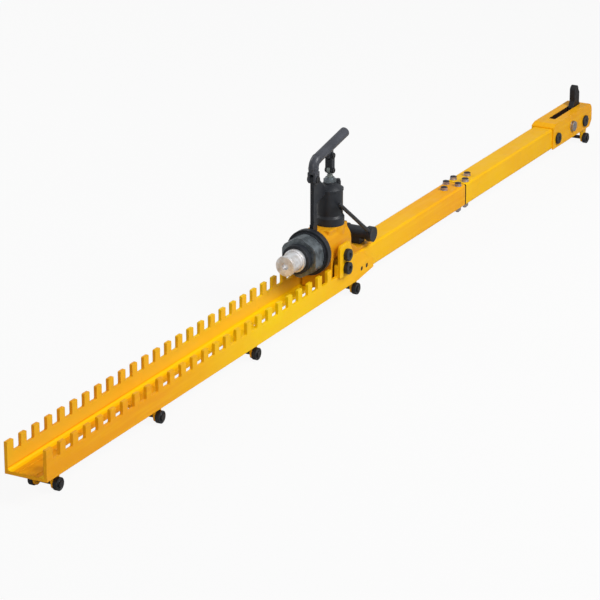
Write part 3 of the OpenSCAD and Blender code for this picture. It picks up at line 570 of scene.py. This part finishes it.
class GAUGE_OT_stage(bpy.types.Operator):
    """Makes the pale floor, the lamps, the white surroundings and the camera"""
    bl_idname = "gauge.stage"
    bl_label = "Studio"

    def execute(self, context):
        scene = context.scene
        studio = scene.gauge_studio
        scene.view_settings.view_transform = "Standard"
        self.camera(scene, studio.lens)
        self.floor()
        for name, place, target, size, power in LAMPS:
            self.lamp(scene, name, Vector(place), Vector(target), size, getattr(studio, power))
        self.surroundings(scene, studio.sky)
        return {"FINISHED"}

    def camera(self, scene, lens):
        data = bpy.data.cameras.new("photo_camera")
        data.lens = lens
        data.sensor_width = SENSOR_WIDTH
        data.clip_end = 60.0
        camera = bpy.data.objects.new("photo_camera", data)
        scene.collection.objects.link(camera)
        forward = Vector(CAMERA_FORWARD).normalized()
        right = Vector(CAMERA_RIGHT).normalized()
        up = right.cross(forward)
        turn = Matrix((right, up, -forward)).transposed().to_4x4()
        camera.matrix_world = Matrix.Translation(CAMERA_PLACE) @ turn
        scene.camera = camera

    def floor(self):
        """A grey-white floor that looks nearly white to the camera and keeps a faint shadow."""
        side, drop, white_share = 40.0, 0.5 * MM, 0.92
        clear_selection()
        bpy.ops.mesh.primitive_plane_add(size=side, location=(0, 0, -drop))
        floor = bpy.context.object
        floor.name = "studio_floor"
        s = Shader("floor_white")
        cloud = s.spread(s.noise(2.0), 0.3, 0.7)
        s.colour(s.blend(cloud, (0.52, 0.52, 0.515), (0.54, 0.54, 0.535)))
        s.fixed(Roughness=0.9)
        ray = s.add("ShaderNodeLightPath")
        glow = s.add("ShaderNodeEmission")
        glow.inputs["Strength"].default_value = 1.0
        mix = s.add("ShaderNodeMixShader")
        share = s.times(ray.outputs["Is Camera Ray"], white_share)
        s.link(share, mix.inputs["Fac"])
        s.link(s.surface.outputs["BSDF"], mix.inputs[1])
        s.link(glow.outputs["Emission"], mix.inputs[2])
        s.link(mix.outputs["Shader"], s.tree.nodes["Material Output"].inputs["Surface"])
        floor.data.materials.append(s.material)

    def lamp(self, scene, name, place, target, size, power):
        data = bpy.data.lights.new(name, "AREA")
        data.size = size
        data.energy = power
        lamp = bpy.data.objects.new(name, data)
        scene.collection.objects.link(lamp)
        lamp.location = place
        lamp.rotation_euler = (target - place).to_track_quat("-Z", "Y").to_euler()

    def surroundings(self, scene, sky):
        """White all round: sky for the light, more in reflections, full white to the camera."""
        in_gloss = 0.55
        world = bpy.data.worlds.new("white_room")
        world.use_nodes = True
        scene.world = world
        tree = world.node_tree
        back = tree.nodes["Background"]
        back.inputs["Color"].default_value = (1.0, 1.0, 1.0, 1.0)
        ray = tree.nodes.new("ShaderNodeLightPath")
        seen = tree.nodes.new("ShaderNodeMath")
        seen.operation = "MULTIPLY_ADD"
        tree.links.new(ray.outputs["Is Glossy Ray"], seen.inputs[0])
        seen.inputs[1].default_value = in_gloss - sky
        seen.inputs[2].default_value = sky
        clear = tree.nodes.new("ShaderNodeMath")
        clear.operation = "MAXIMUM"
        tree.links.new(ray.outputs["Is Camera Ray"], clear.inputs[0])
        tree.links.new(seen.outputs[0], clear.inputs[1])
        tree.links.new(clear.outputs[0], back.inputs["Strength"])


class GAUGE_OT_finishes(bpy.types.Operator):
    """Gives each CAD node its finish in paint, metal or rubber"""
    bl_idname = "gauge.finishes"
    bl_label = "Finishes"

    def execute(self, context):
        looks = context.scene.gauge_looks
        amber = tuple(looks.beam_yellow)
        self.rack_paint(tuple(looks.paint_yellow), looks.wear)
        self.beam_paint(amber, looks.wear)
        self.head_paint(amber, looks.wear)
        gloss_paint("casting_gloss", (0.70, 0.345, 0.006), (0.67, 0.28, 0.006),
                    (0.82, 0.45, 0.010), looks.wear * 0.7)
        self.enamels(tuple(looks.enamel_black))
        self.metals()
        rubber("seal_rubber")
        for finish, names in FINISHES.items():
            for name in names:
                node = NODES[name]
                node.data.materials.clear()
                node.data.materials.append(bpy.data.materials[finish])
        missing = [name for name in NODES if not NODES[name].data.materials]
        if missing:
            raise RuntimeError("no finish for " + ", ".join(missing))
        return {"FINISHED"}

    def rack_paint(self, yellow, wear):
        """Orange at the open end, painted shade where the light falls off, and vivid before the
        jack.
        The ledges beside the walls carry a strong painted light, the inside of the walls a paler
        one."""
        wall, ledge, reach, skin = 6.1 * MM, 6.5 * MM, 10 * MM, 0.3 * MM
        low, high = corners("rack_wall_near")
        plate_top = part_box("end_cross_plate")[1][2]
        ledge_top = plate_top + ledge
        inner = -low.y - wall
        lining = inner + skin
        ledges = ((low.x, inner - reach, plate_top), (high.x, inner, ledge_top))
        inside = ((low.x, -lining, ledge_top), (high.x, lining, high.z))
        orange = (0.85, 0.350, 0.005)
        vivid = (0.90, 0.59, 0.002)
        # Painted shade: the orange at the open end stands for the light falling off there.
        drift = ((-0.80, orange), (-0.46, vivid), (-0.25, vivid), (-0.04, yellow))
        gloss_paint("rack_gloss", yellow, orange, PALE_YELLOW, wear, drift,
                    strong_light_box=ledges, soft_light_box=inside)

    def beam_paint(self, amber, wear):
        """Each tube of the beam drifts in tone its own way, and the gap between them holds painted
        shade.
        """
        gap_width, skin, half_width = 4.0 * MM, 1.0 * MM, 100 * MM
        low, high = corners("outer_box_beam")
        tube_end = low.x - gap_width
        # The faces in the gap between the tubes get painted shade.
        gap = ((tube_end, -half_width, low.z - skin), (low.x + skin, half_width, high.z - skin))
        rich = (0.90, 0.515, 0.002)
        far_end = (0.89, 0.475, 0.003)
        drift = ((-0.10, BEAM_ORANGE), (0.07, rich), (0.22, amber), (0.44, BEAM_ORANGE),
                 (tube_end, BEAM_ORANGE), (low.x, rich), (0.95, far_end))
        gloss_paint("beam_gloss", amber, BEAM_ORANGE, PALE_YELLOW, wear, drift, shade_box=gap)

    def head_paint(self, amber, wear):
        """The hook head, with painted shade, near black, inside the slot for the hook."""
        front, back, half_width, floor, lip = 50 * MM, 21 * MM, 8.2 * MM, 3 * MM, 0.4 * MM
        low, high = corners("hook_head")
        # The faces inside the slot get painted shade.
        slot = ((low.x + front, -half_width, low.z + floor),
                (high.x - back, half_width, high.z - lip))
        gloss_paint("head_gloss", amber, BEAM_ORANGE, PALE_YELLOW, wear, shade_box=slot)

    def enamels(self, black):
        black_paint("tube_enamel", (0.036, 0.038, 0.046), (0.062, 0.066, 0.080), 0.30)
        black_paint("black_enamel", black, (0.021, 0.024, 0.030), 0.34)
        # Painted shade: the hook's enamel is darker than the other black to offset the extra light
        # of the end lamp.
        black_paint("hook_enamel", (0.005, 0.005, 0.006), (0.010, 0.010, 0.012), 0.40)

    def metals(self):
        drawn = (1.0, 6.0, 6.0)
        turned = (30.0, 1.0, 1.0)
        ground = (40.0, 1.0, 1.0)
        upright = (1.0, 1.0, 30.0)
        cap = 0.9 * MM
        bolt_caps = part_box("splice_bolts")[1][2] - cap
        steel("zinc_plate", (0.42, 0.40, 0.41), (0.24, 0.22, 0.22), 0.34, drawn)
        steel("bolt_steel", (0.46, 0.40, 0.41), (0.26, 0.21, 0.22), 0.36, drawn, 0.8, bolt_caps)
        steel("pump_steel", (0.26, 0.29, 0.28), (0.12, 0.13, 0.13), 0.28, upright, 0.9)
        steel("ground_steel", (0.92, 0.93, 0.95), (0.62, 0.58, 0.55), 0.30, ground, 0.65)
        steel("blued_steel", (0.190, 0.220, 0.240), (0.065, 0.076, 0.084), 0.30, turned, 0.7)
        steel("black_steel", (0.060, 0.060, 0.064), (0.032, 0.030, 0.030), 0.38, drawn)


class GAUGE_OT_round_heads(bpy.types.Operator):
    """Turns the black round heads of the saddle screws and the two head pins"""
    bl_idname = "gauge.round_heads"
    bl_label = "Round heads"

    def execute(self, context):
        self.screw_heads()
        self.pin_heads()
        return {"FINISHED"}

    def screw_heads(self):
        """Two heads on each side of the saddle, one over the other."""
        height, recess, seat = 8.8 * MM, 5.0 * MM, 9.0 * MM
        low, high = corners("saddle_screws")
        middle = (low + high) / 2
        radius = (high.x - low.x) / 2
        spots = [(middle.x, low.z + radius), (middle.x, high.z - radius)]
        self.make("saddle_screws", "saddle_screw", "jack", radius, height, recess,
                  spots, high.y - seat)

    def pin_heads(self):
        height, recess, seat = 4.8 * MM, 4.2 * MM, 5.0 * MM
        for node in ("hook_pivot_pin", "head_fixing_pin"):
            low, high = corners(node)
            middle = (low + high) / 2
            self.make(node, node, "frame", (high.z - low.z) / 2, height, recess,
                      [(middle.x, middle.z)], high.y - seat)

    def make(self, node, name, body, radius, height, recess, spots, face):
        """A head at each spot on both sides, with its underside at face from the middle."""
        head = turned_head(radius, height, recess)
        number = 0
        for x, z in spots:
            for sign in (-1, 1):
                number += 1
                piece = copied(head, Matrix.Translation((x, sign * face, z)) @ facing(sign))
                settle(piece, "%s_head_%d" % (name, number), body, "black_enamel")
                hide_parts(node)
        bpy.data.objects.remove(head)


class GAUGE_OT_hex_bolts(bpy.types.Operator):
    """Makes the flanged hexagon bolts of the beam joint and the grey bolt in the hook head"""
    bl_idname = "gauge.hex_bolts"
    bl_label = "Hexagon bolts"

    def execute(self, context):
        self.joint_bolts()
        self.rest_bolt()
        return {"FINISHED"}

    def joint_bolts(self):
        """Six bolts: one at each end on the middle line and two pairs between them."""
        half_flats, collar, collar_height = 6.5 * MM, 7.8 * MM, 1.6 * MM
        thread, sink, row, twist = 4.0 * MM, 2.0 * MM, 18 * MM, 17.0
        low, high = corners("splice_bolts")
        beam_low, beam_high = corners("outer_box_beam")
        joint = (low.x + high.x) / 2
        end = high.x - joint - collar
        side = high.y - collar
        head = hex_head(half_flats, high.z - beam_high.z, collar, collar_height)
        tail = bolt_tail(thread, beam_low.z - low.z + sink)
        spots = [(-end, 0), (end, 0)] + [(x, y) for x in (-row, row) for y in (-side, side)]
        for number, (x, y) in enumerate(spots, 1):
            over = (Matrix.Translation((joint + x, y, beam_high.z))
                    @ Matrix.Rotation(math.radians(twist * number), 4, "Z"))
            under = (Matrix.Translation((joint + x, y, beam_low.z + sink))
                     @ Matrix.Rotation(math.pi, 4, "X"))
            for form, place, name in ((head, over, "head"), (tail, under, "end")):
                piece = settle(copied(form, place), "splice_bolt_%s_%d" % (name, number),
                               "frame", "bolt_steel")
                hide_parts("splice_bolts")
        bpy.data.objects.remove(head)
        bpy.data.objects.remove(tail)

    def rest_bolt(self):
        """The bolt through the hook head: a hexagon on each face and the shank between."""
        half_flats, head_height, collar, collar_height = 11.0 * MM, 7.0 * MM, 11.9 * MM, 1.2 * MM
        face, thread, shank_length, shank_end = 27.0 * MM, 7.0 * MM, 64.0 * MM, 28.0 * MM
        low, high = corners("hook_rest_bolt")
        middle = (low + high) / 2
        head = hex_head(half_flats, head_height, collar, collar_height)
        shank = bolt_tail(thread, shank_length)
        parts = [("hex_1", head, -face, -1), ("hex_2", head, face, 1),
                 ("shank", shank, -shank_end, 1)]
        for name, form, y, sign in parts:
            place = Matrix.Translation((middle.x, y, middle.z)) @ facing(sign)
            piece = settle(copied(form, place), "hook_rest_bolt_" + name,
                           "frame", "zinc_plate")
            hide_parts("hook_rest_bolt")
        bpy.data.objects.remove(head)
        bpy.data.objects.remove(shank)


class GAUGE_OT_wheels(bpy.types.Operator):
    """Turns the ten wheels: rounded tread, sunk face and raised hub"""
    bl_idname = "gauge.wheels"
    bl_label = "Wheels"

    def execute(self, context):
        width = 9.0 * MM
        for station in STATIONS:
            node = "roller_wheels_%d" % station
            low, high = corners(node)
            middle = (low + high) / 2
            wheel = turned_wheel((high.z - low.z) / 2, width)
            for side, sign in (("near", -1), ("far", 1)):
                place = (Matrix.Translation((middle.x, sign * (high.y - width), middle.z))
                         @ facing(sign))
                piece = settle(copied(wheel, place), "wheel_%d_%s" % (station, side),
                               "roller_%d" % station, "black_enamel")
                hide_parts(node)
            bpy.data.objects.remove(wheel)
        return {"FINISHED"}


class GAUGE_OT_castings(bpy.types.Operator):
    """Softens the edges of the jack casting and the hook"""
    bl_idname = "gauge.castings"
    bl_label = "Soft castings"

    def execute(self, context):
        self.soften("jack_body", "jack_casting", "jack", "yellow_paint", "casting_gloss",
                    1.1 * MM, 9, bored_for="piston")
        self.soften("hook", "forged_hook", "hook", "black_paint", "hook_enamel", 0.7 * MM, 8)
        return {"FINISHED"}

    def soften(self, node, name, body, slot, finish, voxel, rounds, bored_for=None):
        """A copy of the node's shape, remeshed fine and relaxed so that its edges look cast.
        The bore round the node bored_for, which lies along X, stays sharp and true."""
        play, rim, mouth = 0.05 * MM, 2.5 * MM, 25.5 * MM
        piece = self.merged_copy(NODES[node])
        remesh = piece.modifiers.new("fine", "REMESH")
        remesh.mode = "VOXEL"
        remesh.voxel_size = voxel
        bpy.ops.object.modifier_apply(modifier=remesh.name)
        relax = piece.modifiers.new("relax", "SMOOTH")
        relax.factor = 0.5
        relax.iterations = rounds
        if bored_for:
            low, high = corners(bored_for)
            middle = (low + high) / 2
            bore = (high.z - low.z) / 2 + play
            cast = piece.vertex_groups.new(name="cast_faces")
            away = [vert.index for vert in piece.data.vertices
                    if (vert.co - middle).yz.length > bore + rim]
            cast.add(away, 1.0, "ADD")
            relax.vertex_group = cast.name
        bpy.ops.object.modifier_apply(modifier=relax.name)
        if bored_for:
            self.true_bore(piece, middle, bore, high.x + mouth)
            piece.vertex_groups.clear()
        settle(piece, name, body, finish, smooth=180.0)
        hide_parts(node)

    def merged_copy(self, node):
        """A free copy of a CAD node, active and with its loose triangles merged."""
        merge_gap = 0.01 * MM
        piece = node.copy()
        piece.data = node.data.copy()
        piece.parent = None
        for key in list(piece.keys()):
            del piece[key]
        piece.matrix_basis = Matrix.Identity(4)
        bpy.context.collection.objects.link(piece)
        make_active(piece)
        pick_faces(piece, lambda centre, normal: True)
        bpy.ops.mesh.remove_doubles(threshold=merge_gap)
        set_mode("OBJECT")
        return piece

    def true_bore(self, piece, middle, bore, bore_end):
        """Puts the vertices near the wall of the bore, up to bore_end, back on its radius."""
        near = 0.8 * MM
        for vert in piece.data.vertices:
            arm = (vert.co - middle).yz
            if abs(arm.length - bore) < near and vert.co.x < bore_end:
                vert.co.y = middle.y + arm.x * bore / arm.length
                vert.co.z = middle.z + arm.y * bore / arm.length


class GAUGE_OT_welds(bpy.types.Operator):
    """Lays rippled weld beads along the cross plates and round the roller brackets"""
    bl_idname = "gauge.welds"
    bl_label = "Weld beads"

    def execute(self, context):
        plate_bead, start_gap, end_gap = 1.5 * MM, 4 * MM, 2 * MM
        bracket_bead, sink = 1.3 * MM, 0.6 * MM
        for node in ("end_cross_plate", "second_cross_plate", "third_cross_plate"):
            low, high = corners(node)
            start, end = low.x + start_gap, high.x - end_gap
            runs = [((start, y, high.z), (end, y, high.z)) for y in (low.y, high.y)]
            weld(runs, plate_bead, "weld_" + node, "rack_gloss")
        for station in STATIONS:
            low, high = corners("roller_bracket_%d" % station)
            z = high.z - sink
            runs = [((low.x, y, z), (high.x, y, z)) for y in (low.y, high.y)]
            runs += [((x, low.y, z), (x, high.y, z)) for x in (low.x, high.x)]
            weld(runs, bracket_bead, "weld_bracket_%d" % station, "beam_gloss")
        return {"FINISHED"}


class GAUGE_PT_panel(bpy.types.Panel):
    """Lists the looks, the light and the steps that dress the tool"""
    bl_idname = "GAUGE_PT_panel"
    bl_label = "Rail Gauge Adjuster"
    bl_space_type = "VIEW_3D"
    bl_region_type = "UI"
    bl_category = "Gauge Adjuster"

    def draw(self, context):
        layout = self.layout
        for group in (context.scene.gauge_looks, context.scene.gauge_studio):
            for key in group.__annotations__:
                layout.prop(group, key)
        for step in STEPS:
            layout.operator(step.bl_idname)


STEPS = (
    GAUGE_OT_stage, GAUGE_OT_finishes, GAUGE_OT_round_heads, GAUGE_OT_hex_bolts,
    GAUGE_OT_wheels, GAUGE_OT_castings, GAUGE_OT_welds,
)
CLASSES = (GaugeAdjusterLooks, GaugeAdjusterStudio) + STEPS + (GAUGE_PT_panel,)


def register():
    for item in CLASSES:
        bpy.utils.register_class(item)
    bpy.types.Scene.gauge_looks = bpy.props.PointerProperty(type=GaugeAdjusterLooks)
    bpy.types.Scene.gauge_studio = bpy.props.PointerProperty(type=GaugeAdjusterStudio)


def unregister():
    del bpy.types.Scene.gauge_looks
    del bpy.types.Scene.gauge_studio
    for item in reversed(CLASSES):
        bpy.utils.unregister_class(item)


def main():
    register()
    bpy.ops.gauge.stage()
    bpy.ops.gauge.finishes()
    bpy.ops.gauge.round_heads()
    bpy.ops.gauge.hex_bolts()
    bpy.ops.gauge.wheels()
    bpy.ops.gauge.castings()
    bpy.ops.gauge.welds()


if __name__ == "__main__":
    main()
